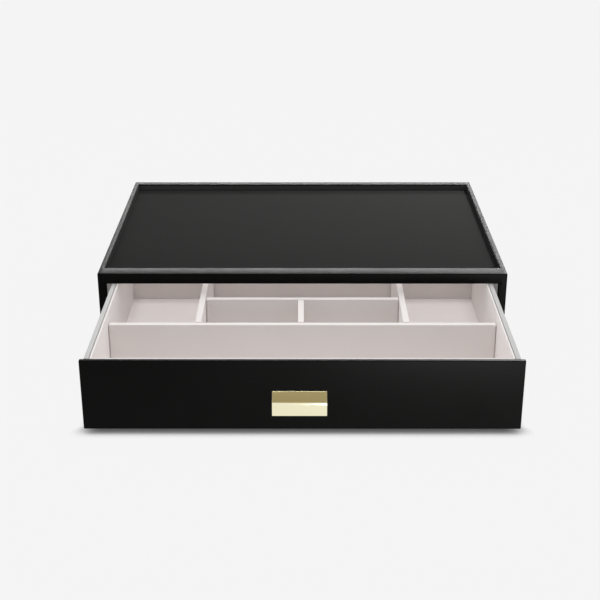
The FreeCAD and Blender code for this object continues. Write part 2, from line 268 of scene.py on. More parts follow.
class Grain:
    """Shared node groups for the small relief and mottling of sheets, built once each."""

    CELL_SMOOTHNESS = 0.6
    PORE_SHARE = 0.35
    MOTTLE_SCALE = 28.0

    @staticmethod
    def _start(name: str, inputs: dict[str, float], outputs: list[str]) -> tuple[Tree, Node, Node]:
        """Start a node group.

        Args:
            name: the group's name.
            inputs: its number inputs with their default values.
            outputs: its number outputs.

        Returns:
            The wrapped tree, its input node and its output node.
        """
        group = bpy.data.node_groups.new(name, "ShaderNodeTree")
        for label, value in inputs.items():
            socket = group.interface.new_socket(label, in_out="INPUT", socket_type="NodeSocketFloat")
            socket.default_value = value
        for label in outputs:
            group.interface.new_socket(label, in_out="OUTPUT", socket_type="NodeSocketFloat")
        tree = Tree(group)
        return tree, tree.add("NodeGroupInput"), tree.add("NodeGroupOutput")

    @classmethod
    def pebble(cls) -> bpy.types.NodeTree:
        """Pebbled hide grain: cells with creases between them, over finer pores.

        Returns:
            A group with inputs "Cell" and "Pore" in metres, and outputs "Height" and "Mottle".
        """
        found = bpy.data.node_groups.get("pebble_grain")
        if found:
            return found
        sizes = {"Cell": 1.0 * MM, "Pore": 0.3 * MM}
        tree, given, result = cls._start("pebble_grain", sizes, ["Height", "Mottle"])
        place = tree.add("TexCoord").outputs["Object"]
        cells = tree.add("TexVoronoi", feature="SMOOTH_F1")
        tree.set(cells, Smoothness=cls.CELL_SMOOTHNESS, Randomness=1.0)
        pores = tree.set(tree.add("TexNoise"), Detail=2.0)
        clouds = tree.set(tree.add("TexNoise"), Scale=cls.MOTTLE_SCALE, Detail=3.0)
        for texture in (cells, pores, clouds):
            tree.join(place, texture.inputs["Vector"])
        for texture, label in ((cells, "Cell"), (pores, "Pore")):
            tree.join(tree.compute("DIVIDE", 1.0, given.outputs[label]), texture.inputs["Scale"])
        domes = tree.compute("SUBTRACT", 1.0, cells.outputs["Distance"])
        height = tree.compute("MULTIPLY_ADD", pores.outputs["Fac"], cls.PORE_SHARE, domes)
        tree.join(height, result.inputs["Height"])
        tree.join(clouds.outputs["Fac"], result.inputs["Mottle"])
        return tree.tree

    @classmethod
    def nap(cls) -> bpy.types.NodeTree:
        """Short pile: fine tufts, and broad patches where the nap lies another way.

        Returns:
            A group with inputs "Tuft" and "Patch" in metres, and outputs "Height" and "Lay".
        """
        found = bpy.data.node_groups.get("short_nap")
        if found:
            return found
        sizes = {"Tuft": 0.5 * MM, "Patch": 30.0 * MM}
        tree, given, result = cls._start("short_nap", sizes, ["Height", "Lay"])
        place = tree.add("TexCoord").outputs["Object"]
        for label, output, detail in (("Tuft", "Height", 3.0), ("Patch", "Lay", 4.0)):
            noise = tree.set(tree.add("TexNoise"), Detail=detail)
            tree.join(place, noise.inputs["Vector"])
            tree.join(tree.compute("DIVIDE", 1.0, given.outputs[label]), noise.inputs["Scale"])
            tree.join(noise.outputs["Fac"], result.inputs[output])
        return tree.tree


# ---------------------------------------- finishes


def grey(tone: float) -> Colour:
    """A grey of one tone."""
    return (tone, tone, tone)


@dataclass(frozen=True)
class Finish:
    """A plain finish whose colour wanders between a dark and a light tone.

    Attributes:
        name: the material's name.
        dark: the dark tone.
        light: the light tone.
        roughness: how rough the dark and the light tone are.
        relief: how strongly the small relief shows.
        depth: how deep the relief goes, in metres.
        specular: how strong the gloss is.
        tuft: size of the relief's bumps.
        patch: size of the patches of either tone.
    """

    name: str
    dark: Colour
    light: Colour
    roughness: Span
    relief: float
    depth: float
    specular: float = 0.5
    tuft: float = 0.8 * MM
    patch: float = 50.0 * MM

    def texture(self, tree: Tree) -> tuple[Socket, Socket]:
        """Add the finish's own pattern.

        Args:
            tree: the material's tree.

        Returns:
            The outputs that give the relief's height and the mask between the two tones.
        """
        nap = tree.add("Group", node_tree=Grain.nap())
        tree.set(nap, Tuft=self.tuft, Patch=self.patch)
        return nap.outputs["Height"], nap.outputs["Lay"]

    def dress(self, shader: Node) -> None:
        """Set what is even all over the surface on the shader itself."""
        shader.inputs["Specular IOR Level"].default_value = self.specular

    def build(self) -> bpy.types.Material:
        """Make the material, or find it if it is made already.

        Returns:
            The material.
        """
        found = bpy.data.materials.get(self.name)
        if found:
            return found
        material = bpy.data.materials.new(self.name)
        material.use_nodes = True
        tree = Tree(material.node_tree)
        shader = tree.add("BsdfPrincipled")
        self.dress(shader)
        height, mask = self.texture(tree)
        tone = tree.mix_colours(mask, self.dark, self.light)
        tree.join(tone, shader.inputs["Base Color"])
        tree.join(tree.remap(mask, FULL, self.roughness), shader.inputs["Roughness"])
        bump = tree.set(tree.add("Bump"), Strength=self.relief, Distance=self.depth)
        tree.join(height, bump.inputs["Height"])
        tree.join(bump.outputs[0], shader.inputs["Normal"])
        output = tree.add("OutputMaterial")
        tree.join(shader.outputs[0], output.inputs["Surface"])
        return material


@dataclass(frozen=True)
class Leatherette(Finish):
    """Coated sheet with the pebbled grain of hide.

    Attributes:
        cell: size of the grain's pebbles.
        pore: size of the pores on them.
    """

    cell: float = 1.1 * MM
    pore: float = 0.4 * MM

    def texture(self, tree: Tree) -> tuple[Socket, Socket]:
        """Add the pebbled grain.

        Args:
            tree: the material's tree.

        Returns:
            The outputs that give the relief's height and the mask between the two tones.
        """
        grain = tree.add("Group", node_tree=Grain.pebble())
        tree.set(grain, Cell=self.cell, Pore=self.pore)
        return grain.outputs["Height"], grain.outputs["Mottle"]


@dataclass(frozen=True)
class Velvet(Finish):
    """Short velvet with a soft sheen at glancing angles.

    Attributes:
        sheen: how strong the sheen is.
        sheen_roughness: how widely it spreads.
        sheen_tint: its colour.
    """

    sheen: float = 0.25
    sheen_roughness: float = 0.45
    sheen_tint: Colour = (1.0, 0.97, 0.95)

    def dress(self, shader: Node) -> None:
        """Give the pile its sheen.

        Args:
            shader: the material's shader.
        """
        super().dress(shader)
        shader.inputs["Sheen Weight"].default_value = self.sheen
        shader.inputs["Sheen Roughness"].default_value = self.sheen_roughness
        shader.inputs["Sheen Tint"].default_value = (*self.sheen_tint, 1.0)


@dataclass(frozen=True)
class Metal(Finish):
    """Plated metal with faint brushing.

    Attributes:
        brush: brush marks to the metre along X, Y and Z.
    """

    brush: Point = (60.0, 4000.0, 4000.0)

    def texture(self, tree: Tree) -> tuple[Socket, Socket]:
        """Add the brush marks.

        Args:
            tree: the material's tree.

        Returns:
            The outputs that give the relief's height and the mask between the two tones.
        """
        stretch = tree.add("Mapping")
        stretch.inputs["Scale"].default_value = self.brush
        marks = tree.set(tree.add("TexNoise"), Scale=1.0, Detail=2.0)
        tree.join(tree.add("TexCoord").outputs["Object"], stretch.inputs["Vector"])
        tree.join(stretch.outputs[0], marks.inputs["Vector"])
        return marks.outputs["Fac"], marks.outputs["Fac"]

    def dress(self, shader: Node) -> None:
        """Make the surface metal."""
        super().dress(shader)
        shader.inputs["Metallic"].default_value = 1.0


FINISHES: dict[Slot, Finish] = {
    Slot.LEATHERETTE: Leatherette(
        name="pebbled_leatherette",
        dark=(0.0025, 0.0025, 0.0024),
        light=(0.0038, 0.0037, 0.0036),
        roughness=(0.38, 0.5),
        relief=0.35,
        depth=0.06 * MM,
        specular=0.03,
    ),
    Slot.MATTE: Leatherette(
        name="panel_leatherette",
        dark=(0.0175, 0.0175, 0.0172),
        light=(0.0215, 0.0213, 0.021),
        roughness=(0.7, 0.8),
        relief=0.25,
        depth=0.05 * MM,
        specular=0.003,
    ),
    Slot.VELVET: Velvet(
        name="drawer_velvet",
        dark=(0.81, 0.768, 0.754),
        light=(0.86, 0.819, 0.805),
        roughness=(0.92, 1.0),
        relief=0.5,
        depth=0.12 * MM,
        specular=0.1,
    ),
    Slot.FELT: Velvet(
        name="black_felt",
        dark=(0.008, 0.008, 0.008),
        light=(0.016, 0.016, 0.015),
        roughness=(0.95, 1.0),
        relief=0.8,
        depth=0.3 * MM,
        specular=0.1,
    ),
    Slot.RAW_BOARD: Finish(
        name="fibreboard",
        dark=(0.36, 0.26, 0.17),
        light=(0.5, 0.38, 0.26),
        roughness=(0.7, 0.85),
        relief=0.3,
        depth=0.1 * MM,
        specular=0.3,
    ),
    Slot.PALE_BOARD: Finish(
        name="papered_board",
        dark=(0.52, 0.52, 0.515),
        light=(0.60, 0.60, 0.595),
        roughness=(0.7, 0.85),
        relief=0.3,
        depth=0.08 * MM,
        specular=0.2,
    ),
    Slot.GOLD: Metal(
        name="gold_plate",
        dark=(0.90, 0.85, 0.60),
        light=(0.94, 0.89, 0.64),
        roughness=(0.14, 0.22),
        relief=0.05,
        depth=0.01 * MM,
    ),
    Slot.STEEL: Metal(
        name="zinc_plate",
        dark=(0.55, 0.55, 0.56),
        light=(0.65, 0.65, 0.66),
        roughness=(0.25, 0.35),
        relief=0.05,
        depth=0.01 * MM,
    ),
}


def cover(obj: bpy.types.Object, slot: Slot) -> None:
    """Give an object a slot's finish, in place of what it wears."""
    obj.data.materials.clear()
    obj.data.materials.append(FINISHES[slot].build())


def cover_nodes(slot: Slot, *nodes: str) -> None:
    """Give a slot's finish to nodes of the frame that stay as they are.

    Args:
        slot: the slot.
        nodes: the nodes' names.
    """
    for node in nodes:
        cover(frame["nodes"][node], slot)
    log.info("%s: kept nodes %s", slot.value, ", ".join(nodes))


# ---------------------------------------- picking


def same(a: float, b: float) -> bool:
    """Whether two places are the same within a hair."""
    return abs(a - b) < HAIR


def both_at(axis: Axis, place: float) -> Test:
    """A test that picks edges lying in a plane square to an axis."""
    return lambda a, b: same(a[axis.value], place) and same(b[axis.value], place)


def between(axis: Axis, low: float, high: float) -> Test:
    """A test that picks edges lying wholly between two places along an axis."""
    return lambda a, b: low < a[axis.value] < high and low < b[axis.value] < high


def along(axis: Axis) -> Test:
    """A test that picks edges running along an axis."""
    return lambda a, b: all(same(a[other.value], b[other.value]) for other in Axis if other is not axis)


def all_of(*tests: Test) -> Test:
    """A test that picks what every one of some tests picks."""
    return lambda a, b: all(test(a, b) for test in tests)


def any_of(*tests: Test) -> Test:
    """A test that picks what at least one of some tests picks."""
    return lambda a, b: any(test(a, b) for test in tests)


# ---------------------------------------- modelling


def deselect() -> None:
    """Leave object mode with nothing selected."""
    if bpy.context.object and bpy.context.object.mode != "OBJECT":
        bpy.ops.object.mode_set(mode="OBJECT")
    bpy.ops.object.select_all(action="DESELECT")


class Workpiece:
    """One piece on the bench: a block that edit-mode tools and modifiers shape."""

    # An edge is sharp where its faces turn by more than this, in degrees.
    SHARP = 30.0
    # An edge is shaded smooth where they turn by less than this.
    SMOOTH = 40.0

    def __init__(self, name: str, low: Vector, high: Vector) -> None:
        """Add a block between two corners, with its place in its mesh.

        Args:
            name: the piece's name.
            low: its lowest corner, in metres.
            high: its highest corner.
        """
        deselect()
        bpy.ops.mesh.primitive_cube_add(size=1.0, location=(low + high) / 2, scale=high - low)
        bpy.ops.object.transform_apply(location=True, rotation=True, scale=True)
        self.obj: bpy.types.Object = bpy.context.object
        self.obj.name = name
        self.obj.data.name = name
        self.low = low.copy()
        self.high = high.copy()

    def low_end(self, axis: Axis) -> Test:
        """A test that picks the edges at the block's lower end along an axis."""
        return both_at(axis, self.low[axis.value])

    def high_end(self, axis: Axis) -> Test:
        """A test that picks the edges at the block's higher end along an axis."""
        return both_at(axis, self.high[axis.value])

    def either_end(self, axis: Axis) -> Test:
        """A test that picks the edges at both ends of the block along an axis."""
        return any_of(self.low_end(axis), self.high_end(axis))

    def _take_up(self) -> None:
        """Make this piece the only one selected, and the active one."""
        deselect()
        bpy.context.view_layer.objects.active = self.obj
        self.obj.select_set(True)

    def _edit(self) -> bmesh.types.BMesh:
        """Enter edit mode on this piece with nothing selected.

        Returns:
            The mesh under edit.
        """
        self._take_up()
        bpy.ops.object.mode_set(mode="EDIT")
        bpy.ops.mesh.select_all(action="DESELECT")
        return bmesh.from_edit_mesh(self.obj.data)

    def _select(self, chosen: list[bmesh.types.BMEdge] | list[bmesh.types.BMFace]) -> bool:
        """Select some of the mesh under edit.

        Args:
            chosen: the edges or faces.

        Returns:
            Whether there are any.
        """
        for part in chosen:
            part.select_set(True)
        bmesh.update_edit_mesh(self.obj.data)
        return bool(chosen)

    def pick_edges(self, test: Test) -> bool:
        """Select edges in edit mode.

        Args:
            test: says of an edge's two ends whether it is picked.

        Returns:
            Whether any were picked.
        """
        mesh = self._edit()
        bpy.ops.mesh.select_mode(type="EDGE")
        return self._select([edge for edge in mesh.edges if test(edge.verts[0].co, edge.verts[1].co)])

    def pick_faces(self, test: Test) -> bool:
        """Select faces in edit mode.

        Args:
            test: says of a face's centre and normal whether it is picked.

        Returns:
            Whether any were picked.
        """
        mesh = self._edit()
        bpy.ops.mesh.select_mode(type="FACE")
        return self._select([face for face in mesh.faces if test(face.calc_center_median(), face.normal)])

    def open(self, *outward: Vector) -> Self:
        """Delete the faces that look along some directions.

        Args:
            outward: the directions, as unit vectors.

        Returns:
            The workpiece.
        """
        if self.pick_faces(lambda centre, normal: any(normal.dot(way) > SQUARE_ON for way in outward)):
            bpy.ops.mesh.delete(type="FACE")
        return self

    def inset(self, thickness: float, depth: float = 0.0) -> Self:
        """Draw the picked faces in from their outline.

        Args:
            thickness: how far in, in metres.
            depth: how far out of the surface they are drawn.

        Returns:
            The workpiece.
        """
        bpy.ops.mesh.inset(thickness=thickness, depth=depth)
        return self

    def extrude(self, step: Point) -> Self:
        """Draw the picked faces out by a step along X, Y and Z."""
        bpy.ops.mesh.extrude_region_move(TRANSFORM_OT_translate={"value": step})
        return self

    def slice(self, axis: Axis, *places: float) -> Self:
        """Cut every face where planes square to an axis cross it.

        Args:
            axis: the axis.
            places: where along it the cuts go, in metres.

        Returns:
            The workpiece.
        """
        for place in places:
            self._edit()
            bpy.ops.mesh.select_all(action="SELECT")
            bpy.ops.mesh.bisect(plane_co=axis.direction * place, plane_no=axis.direction)
        return self

    def slice_evenly(self, axis: Axis, step: float) -> Self:
        """Cut the piece along an axis into equal lengths.

        Args:
            axis: the axis.
            step: about how long each is, in metres.

        Returns:
            The workpiece.
        """
        low, high = self.low[axis.value], self.high[axis.value]
        count = max(1, round((high - low) / step))
        return self.slice(axis, *(low + (high - low) * i / count for i in range(1, count)))

    def trim(self, axis: Axis, place: float) -> Self:
        """Cut away and close whatever lies lower than a place along an axis.

        Args:
            axis: the axis.
            place: the place, in metres.

        Returns:
            The workpiece.
        """
        self._edit()
        bpy.ops.mesh.select_all(action="SELECT")
        plane = axis.direction
        bpy.ops.mesh.bisect(plane_co=plane * place, plane_no=plane, use_fill=True, clear_inner=True)
        return self

    def round(self, radius: float, test: Test, segments: int = 4) -> Self:
        """Round edges.

        Args:
            radius: the radius, in metres.
            test: says of an edge's two ends whether it is rounded.
            segments: how many flats stand for the curve.

        Returns:
            The workpiece.
        """
        if self.pick_edges(test):
            bpy.ops.mesh.bevel(offset=radius, segments=segments, affect="EDGES", clamp_overlap=True)
        return self

    def modify(self, kind: str, **settings: object) -> Self:
        """Add a modifier and apply it.

        Args:
            kind: the modifier's type.
            settings: its attributes.

        Returns:
            The workpiece.
        """
        self._take_up()
        modifier = self.obj.modifiers.new(kind.lower(), kind)
        for name, value in settings.items():
            setattr(modifier, name, value)
        bpy.ops.object.modifier_apply(modifier=modifier.name)
        return self

    def round_sharp(self, radius: float) -> Self:
        """Round every sharp edge."""
        sharp = math.radians(self.SHARP)
        return self.modify("BEVEL", width=radius, segments=3, limit_method="ANGLE", angle_limit=sharp)

    def thicken(self, thickness: float) -> Self:
        """Give an open shell its thickness, inwards from its outer face."""
        return self.modify("SOLIDIFY", thickness=thickness, offset=-1.0, use_even_offset=True)

    def ripple(self, height: float, wavelength: float) -> Self:
        """Let the surface wander a little, as glued sheet does.

        Args:
            height: the most that a point moves either way, in metres.
            wavelength: the usual distance from one rise to the next.

        Returns:
            The workpiece.
        """
        texture = bpy.data.textures.new(self.obj.name + "_ripple", "CLOUDS")
        texture.noise_scale = wavelength
        return self.modify("DISPLACE", texture=texture, strength=2 * height, mid_level=0.5)

    def finish(self, body: Body, slot: Slot, node: str) -> None:
        """Take the piece off the bench: smooth, covered, and riding on its body.

        Args:
            body: the body that it moves with.
            slot: its material slot.
            node: the node that it stands for.
        """
        self._take_up()
        bpy.ops.object.shade_smooth_by_angle(angle=math.radians(self.SMOOTH))
        cover(self.obj, slot)
        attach(self.obj, body.value)
        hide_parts(node)
        log.info("%s: %d faces", self.obj.name, len(self.obj.data.polygons))


# ---------------------------------------- the case


@dataclass
class CaseShell:
    """Covered walls, rail and sunken panel, on a felt-covered plinth.

    Attributes:
        sheet: thickness of the leatherette.
        edge: radius of its turned edges.
        panel_sheet: thickness of the panel's covering.
        crease: how far that covering stays clear of the rim.
        plinth_corner: radius of the plinth's upright corners.
    """

    sheet: float = 0.8 * MM
    edge: float = 1.0 * MM
    panel_sheet: float = 0.3 * MM
    crease: float = 0.04 * MM
    plinth_corner: float = 3.0 * MM

    def build(self) -> None:
        """Model every covered piece of the case."""
        for side in Side:
            self._side_wall(side)
            self._stile(side)
        self._back_wall()
        self._rail()
        self._panel()
        self._plinth()
        boards = [f"{side.value}_{part}_board" for side in Side for part in ("wall", "liner")]
        boards += ["back_wall_board", "front_rail_board", "top_panel_board", "bottom_board"]
        cover_nodes(Slot.RAW_BOARD, *boards)
        cover_nodes(Slot.MATTE, "bottom_cover")

    def _side_wall(self, side: Side) -> None:
        """Sleeve over a side wall: open below, round along its outer edges and along the recess.

        Args:
            side: the wall's side.
        """
        node = f"{side.value}_wall_wrap"
        low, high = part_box(node)
        outer, inner = side.outer_first(low.x, high.x)
        _, rail_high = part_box("front_rail_wrap")
        back_low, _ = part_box("back_wall_wrap")
        work = Workpiece(f"{side.value}_wall_covering", low, high).open(-Axis.Z.direction)
        work.slice(Axis.Y, rail_high.y, back_low.y)
        top, upright = work.high_end(Axis.Z), work.either_end(Axis.Y)
        beside_recess = between(Axis.Y, rail_high.y - self.sheet, back_low.y + self.sheet)
        outside = all_of(both_at(Axis.X, outer), any_of(top, upright))
        inside = all_of(both_at(Axis.X, inner), beside_recess)
        work.round(self.edge, any_of(outside, all_of(top, any_of(upright, inside))))
        work.thicken(self.sheet).finish(Body.CASE, Slot.LEATHERETTE, node)

    def _stile(self, side: Side) -> None:
        """Strip that closes the front of a wall beside the drawer.

        Args:
            side: the wall's side.
        """
        node = f"{side.value}_front_stile"
        low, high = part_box(node)
        _, inner = side.outer_first(low.x, high.x)
        work = Workpiece(f"{side.value}_stile_covering", low, high)
        work.round(self.edge, all_of(both_at(Axis.X, inner), work.low_end(Axis.Y)))
        work.finish(Body.CASE, Slot.LEATHERETTE, node)

    def _back_wall(self) -> None:
        """Channel over the back wall, open below and at its ends."""
        work = Workpiece("back_wall_covering", *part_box("back_wall_wrap"))
        work.open(-Axis.Z.direction, -Axis.X.direction, Axis.X.direction)
        work.round(self.edge, all_of(work.high_end(Axis.Z), work.either_end(Axis.Y)))
        work.thicken(self.sheet).finish(Body.CASE, Slot.LEATHERETTE, "back_wall_wrap")

    def _rail(self) -> None:
        """Tube round the rail over the drawer, open at its ends."""
        work = Workpiece("front_rail_covering", *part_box("front_rail_wrap"))
        work.open(-Axis.X.direction, Axis.X.direction)
        top_edges = all_of(work.high_end(Axis.Z), work.either_end(Axis.Y))
        lower_front = all_of(work.low_end(Axis.Z), work.low_end(Axis.Y))
        work.round(self.edge, any_of(top_edges, lower_front))
        work.thicken(self.sheet).finish(Body.CASE, Slot.LEATHERETTE, "front_rail_wrap")

    def _panel(self) -> None:
        """Sheet over the panel, a hair clear of the rim and turned up its walls to their soft edge."""
        low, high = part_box("top_panel_cover")
        _, rail_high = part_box("front_rail_wrap")
        clear = Vector((self.crease, self.crease, 0.0))
        low = Vector((low.x, low.y, high.z - self.panel_sheet)) + clear
        high = Vector((high.x, high.y, rail_high.z - self.edge)) - clear
        work = Workpiece("top_panel_covering", low, high).open(Axis.Z.direction)
        work.thicken(self.panel_sheet).finish(Body.CASE, Slot.MATTE, "top_panel_cover")

    def _plinth(self) -> None:
        """Felt-covered board under the case."""
        work = Workpiece("plinth_covering", *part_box("base_plinth"))
        work.round(self.plinth_corner, along(Axis.Z), segments=6)
        work.round(self.edge, work.low_end(Axis.Z), segments=3)
        work.finish(Body.CASE, Slot.FELT, "base_plinth")


@dataclass
class CaseLining:
    """Velvet sheets inside the bay that the drawer slides in.

    Attributes:
        ripple: how far the velvet's surface wanders.
        ripple_length: distance from one rise to the next.
        step: distance between the mesh's cuts, which lets it follow the ripple.
    """

    ripple: float = 0.06 * MM
    ripple_length: float = 45.0 * MM
    step: float = 24.0 * MM

    def build(self) -> None:
        """Model each sheet with the small unevenness of glued cloth."""
        for word in ("left", "right", "back", "floor", "ceiling"):
            node = f"{word}_case_velvet"
            work = Workpiece(f"{word}_bay_lining", *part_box(node))
            thin_way = min(Axis, key=lambda axis: work.high[axis.value] - work.low[axis.value])
            for axis in Axis:
                if axis is not thin_way:
                    work.slice_evenly(axis, self.step)
            work.ripple(self.ripple, self.ripple_length).finish(Body.CASE, Slot.VELVET, node)


# ---------------------------------------- the drawer


@dataclass
class DrawerFront:
    """Front panel: leatherette turned round a board.

    Attributes:
        sheet: thickness of the leatherette.
        edge: radius of its turned edges.
        turn_in: width of the margin that is turned in behind.
    """

    sheet: float = 0.8 * MM
    edge: float = 0.8 * MM
    turn_in: float = 16.0 * MM

    def build(self) -> None:
        """Model the covering, with its turned-in margin behind."""
        work = Workpiece("drawer_front_covering", *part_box("drawer_front_wrap"))
        work.pick_faces(lambda centre, normal: normal.y > SQUARE_ON)
        work.inset(self.turn_in)
        bpy.ops.mesh.delete(type="FACE")
        corners = all_of(work.either_end(Axis.X), work.either_end(Axis.Z))
        outline = any_of(work.either_end(Axis.X), work.either_end(Axis.Z))
        rear_outline = all_of(work.high_end(Axis.Y), outline)
        work.round(self.edge, any_of(work.low_end(Axis.Y), corners, rear_outline))
        work.thicken(self.sheet).finish(Body.DRAWER, Slot.LEATHERETTE, "drawer_front_wrap")
        cover_nodes(Slot.RAW_BOARD, "drawer_front_board")


@dataclass
class DrawerBox:
    """Boards of the drawer, covered with pale paper.

    Attributes:
        edge: radius of their soft top edges.
    """

    edge: float = 0.5 * MM

    def build(self) -> None:
        """Model each board with its soft top edges."""
        for word, across in (("left", Axis.X), ("right", Axis.X), ("back", Axis.Y)):
            node = f"drawer_{word}_board"
            work = Workpiece(f"drawer_{word}_panel", *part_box(node))
            inner, outer = work.low_end(across), work.high_end(across)
            if word == "left":
                inner, outer = outer, inner
            work.round(self.edge, all_of(work.high_end(Axis.Z), inner))
            work.round(self.edge, all_of(work.high_end(Axis.Z), outer), segments=3)
            work.finish(Body.DRAWER, Slot.PALE_BOARD, node)
        cover_nodes(Slot.PALE_BOARD, "drawer_bottom_board")


@dataclass
class VelvetInterior:
    """Velvet-covered cards and dividers of the drawer, which make its compartments.

    Attributes:
        card_edge: radius of the cards' long top edges.
        divider_edge: radius of the dividers' long top edges.
        end_edge: radius of the dividers' upright edges.
        end_gap: how far a divider stops short of what it meets.
        end_groove: how far in from the end's outline the tongue starts that closes the gap.
        ripple: how far the velvet's surface wanders.
        ripple_length: distance from one rise to the next.
        step: distance between the mesh's cuts, which lets it follow the ripple.
    """

    card_edge: float = 0.45 * MM
    divider_edge: float = 0.9 * MM
    end_edge: float = 0.35 * MM
    end_gap: float = 1.1 * MM
    end_groove: float = 1.7 * MM
    ripple: float = 0.12 * MM
    ripple_length: float = 35.0 * MM
    step: float = 12.0 * MM

    def build(self) -> None:
        """Model every card and divider."""
        for word, length in (("left", Axis.Y), ("right", Axis.Y), ("front", Axis.X), ("back", Axis.X)):
            self._card(word, length)
        dividers = (
            ("long_divider", Axis.X),
            ("left_partition", Axis.Y),
            ("right_partition", Axis.Y),
            ("cross_divider", Axis.X),
            ("centre_divider", Axis.Y),
        )
        for node, length in dividers:
            self._divider(node, length)
        self._floor()

    def _card(self, word: str, length: Axis) -> None:
        """Card that lines a side of the drawer.

        Args:
            word: the side, as the node spells it.
            length: the axis that the card runs along.
        """
        node = f"{word}_lining_card"
        work = Workpiece(f"{word}_lining", *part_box(node))
        work.round(self.card_edge, all_of(work.high_end(Axis.Z), along(length)))
        self._lay_velvet(work, node, length, Axis.Z)

    def _divider(self, node: str, length: Axis) -> None:
        """Divider that stops short of what it meets, with a narrow tongue at each end to close the gap.

        Args:
            node: the node that it stands for.
            length: the axis that it runs along.
        """
        low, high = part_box(node)
        gap = length.direction * self.end_gap
        work = Workpiece(f"velvet_{node}", low + gap, high - gap)
        work.round(self.end_edge, along(Axis.Z))
        work.round(self.divider_edge, all_of(work.high_end(Axis.Z), along(length)))
        work.pick_faces(lambda centre, normal: abs(normal[length.value]) > SQUARE_ON)
        work.inset(self.end_groove).inset(0.0, depth=self.end_gap)
        self._lay_velvet(work, node, length, Axis.Z)

    def _floor(self) -> None:
        """Card on the drawer's floor."""
        node = "floor_lining_card"
        self._lay_velvet(Workpiece("floor_lining", *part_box(node)), node, Axis.X, Axis.Y)

    def _lay_velvet(self, work: Workpiece, node: str, *across: Axis) -> None:
        """Let the velvet of a shaped piece ripple, and put the piece in the drawer.

        Args:
            work: the piece.
            node: the node that it stands for.
            across: the axes that it is wide along.
        """
        for axis in across:
            work.slice_evenly(axis, self.step)
        work.ripple(self.ripple, self.ripple_length).finish(Body.DRAWER, Slot.VELVET, node)


@dataclass
class Pull:
    """Folded gold pull on the drawer front.

    Attributes:
        plate: thickness of the plate.
        slope: how far its sloping face comes down to the fold.
        bend: radius of the fold.
        edge: radius of its edges.
    """

    # A face looks downwards where its normal has more than this share of down.
    DOWNWARDS = 0.3

    plate: float = 1.6 * MM
    slope: float = 7.0 * MM
    bend: float = 1.2 * MM
    edge: float = 0.35 * MM

    def build(self) -> None:
        """Fold the plate: flange, sloping face and lip."""
        low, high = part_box("drawer_pull")
        flange = Vector((low.x, high.y - self.plate, low.z))
        crest = high.z - self.slope
        work = Workpiece("drawer_pull_fold", flange, high)
        work.slice(Axis.Z, high.z - self.plate)
        work.pick_faces(lambda centre, normal: normal.y < -SQUARE_ON and centre.z > high.z - self.plate)
        reach = flange.y - low.y
        inner = (reach - self.plate) / reach
        for part in (inner, 1.0 - inner):
            work.extrude((0.0, -reach * part, -self.slope * part))
        work.pick_faces(lambda centre, normal: normal.z < -self.DOWNWARDS and centre.y < low.y + self.plate)
        work.extrude((0.0, 0.0, low.z - crest))
        work.trim(Axis.Z, low.z)
        work.round(self.bend, all_of(both_at(Axis.Y, low.y), both_at(Axis.Z, crest)), segments=6)
        work.round_sharp(self.edge).finish(Body.DRAWER, Slot.GOLD, "drawer_pull")
        cover_nodes(Slot.STEEL, "pull_screws")


# ---------------------------------------- the studio


def background_rays(tree: Tree) -> Socket:
    """Tell the rays that see the background's own colour from those that carry light.

    Args:
        tree: the tree of the floor's material or of the world.

    Returns:
        An output that is 1 for camera, glossy and transmission rays, and 0 for the rest.
    """
    path = tree.add("LightPath")
    seen = path.outputs["Is Camera Ray"]
    for label in ("Is Glossy Ray", "Is Transmission Ray"):
        seen = tree.compute("MAXIMUM", seen, path.outputs[label])
    return seen


@dataclass(frozen=True)
class Viewpoint:
    """Where the camera stands and what it takes in.

    Attributes:
        place: its place, in metres.
        pitch: how far it looks down, in radians.
        heading: how far it is turned to the left.
        roll: how far it is tilted.
        lens: its focal length, in millimetres.
        sensor: width of its sensor, in millimetres.
    """

    place: Point = (0.00042, -1.11825, 0.47639)
    pitch: float = 0.40725
    heading: float = 0.00255
    roll: float = -0.00077
    lens: float = 71.72
    sensor: float = 36.0

    def set_up(self) -> None:
        """Make the camera and look through it."""
        data = bpy.data.cameras.new("camera")
        data.lens = self.lens
        data.sensor_width = self.sensor
        camera = bpy.data.objects.new("camera", data)
        bpy.context.scene.collection.objects.link(camera)
        turn = Euler((math.pi / 2 - self.pitch, 0.0, self.heading)).to_matrix()
        turn = turn @ Matrix.Rotation(self.roll, 3, "Z")
        camera.matrix_world = Matrix.Translation(self.place) @ turn.to_4x4()
        bpy.context.scene.camera = camera


